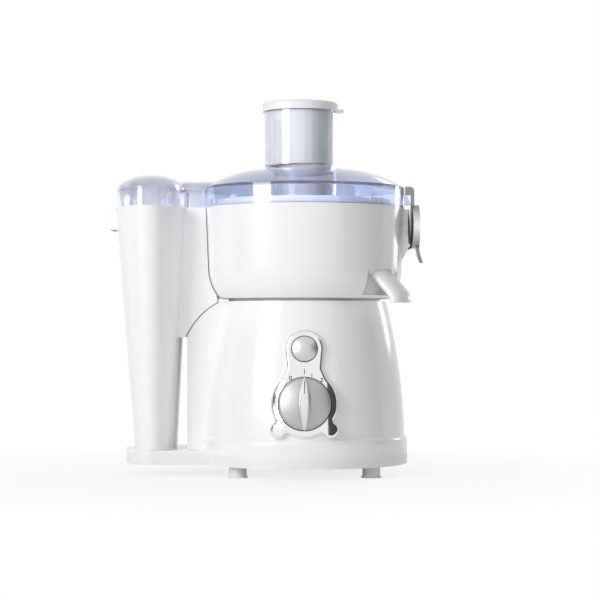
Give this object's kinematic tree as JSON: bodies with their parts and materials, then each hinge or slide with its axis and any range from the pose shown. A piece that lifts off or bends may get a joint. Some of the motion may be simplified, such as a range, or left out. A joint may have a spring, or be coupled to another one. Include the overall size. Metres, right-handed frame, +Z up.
{
  "type": "centrifugal juicer",
  "caption": "White countertop centrifugal juicer: round bowl with spout, clear lid with feed chute and pusher, pulp bin at the side, latch, control knob and pulse button.",
  "frame": {"origin": "on the floor, under the middle of the juicer's bounding box", "axes": "+Z up, -Y towards the user at the control panel, -X towards the pulp bin"},
  "size_m": [0.3298, 0.2309, 0.389],
  "materials": {
    "white_plastic": "glossy white",
    "clear_lid": "clear, blue tint",
    "pusher_grey": "translucent light grey",
    "chrome": "bright plated",
    "satin_silver": "satin silver",
    "rubber": "grey rubber",
    "steel": "brushed",
    "lamination": "stacked sheets",
    "copper": "enamelled wire and copper bars",
    "cast_alloy": "die cast",
    "carbon": "pressed carbon",
    "dark_plastic": "moulded black"
  },
  "bodies": {
    "base": {"base_housing": "white_plastic", "base_plate": "white_plastic", "base_screws": "steel", "foot_front_left": "rubber", "foot_front_right": "rubber", "foot_rear_left": "rubber", "foot_rear_right": "rubber", "cord_gland": "dark_plastic", "control_panel": "chrome", "rotary_switch": "dark_plastic", "pulse_switch": "dark_plastic", "motor_mounts": "rubber", "mount_screws": "steel", "upper_motor_bracket": "cast_alloy", "lower_motor_bracket": "cast_alloy", "upper_bearing": "steel", "lower_bearing": "steel", "stator_core": "lamination", "field_coils": "copper", "motor_bolts": "steel", "brush_holders": "dark_plastic", "carbon_brushes": "carbon", "shaft_seal": "rubber"},
    "rotor": {"motor_shaft": "steel", "armature_core": "lamination", "armature_windings": "copper", "commutator": "copper", "cooling_fan": "dark_plastic", "drive_coupling": "dark_plastic"},
    "knob": {"control_knob": "satin_silver", "knob_spindle": "steel"},
    "button": {"pulse_button": "satin_silver"},
    "bowl": {"juice_bowl": "white_plastic", "juice_spout": "white_plastic", "lid": "clear_lid", "latch_pin": "steel"},
    "basket": {"basket_hub": "white_plastic", "grater_disc": "steel", "filter_sieve": "steel", "basket_rim": "white_plastic"},
    "pusher": {"pusher_body": "pusher_grey", "pusher_cap": "white_plastic"},
    "latch": {"latch_arm": "satin_silver"},
    "bin": {"pulp_bin": "white_plastic"}
  },
  "joints": [
    {"name": "rotor_spin", "type": "hinge", "parent": "base", "child": "rotor", "pos_m": [0.0401, 0.00774, 0.1], "axis": [0, 0, 1], "continuous": true},
    {"name": "bowl_lift", "type": "slide", "parent": "base", "child": "bowl", "axis": [0, 0, 1], "range_m": [0, 0.09]},
    {"name": "basket_spin", "type": "hinge", "parent": "bowl", "child": "basket", "pos_m": [0.0401, 0.00774, 0.23], "axis": [0, 0, 1], "continuous": true},
    {"name": "pusher_slide", "type": "slide", "parent": "bowl", "child": "pusher", "axis": [0, 0, 1], "range_m": [0, 0.14]},
    {"name": "latch_swing", "type": "hinge", "parent": "bowl", "child": "latch", "pos_m": [0.1488, 0.00774, 0.239], "axis": [0, 1, 0], "range_deg": [0, 35]},
    {"name": "bin_slide", "type": "slide", "parent": "base", "child": "bin", "axis": [-1, 0, 0], "range_m": [0, 0.13]},
    {"name": "knob_turn", "type": "hinge", "parent": "base", "child": "knob", "pos_m": [0.0401, -0.09776, 0.07673], "axis": [0, -0.9936, 0.1129], "range_deg": [-60, 60]},
    {"name": "button_press", "type": "slide", "parent": "base", "child": "button", "axis": [0, 0.9936, -0.1129], "range_m": [0, 0.003], "stiffness_N_per_m": 400}
  ],
  "couplings": [
    {"joint": "basket_spin", "follows": "rotor_spin", "ratio": 1}
  ]
}
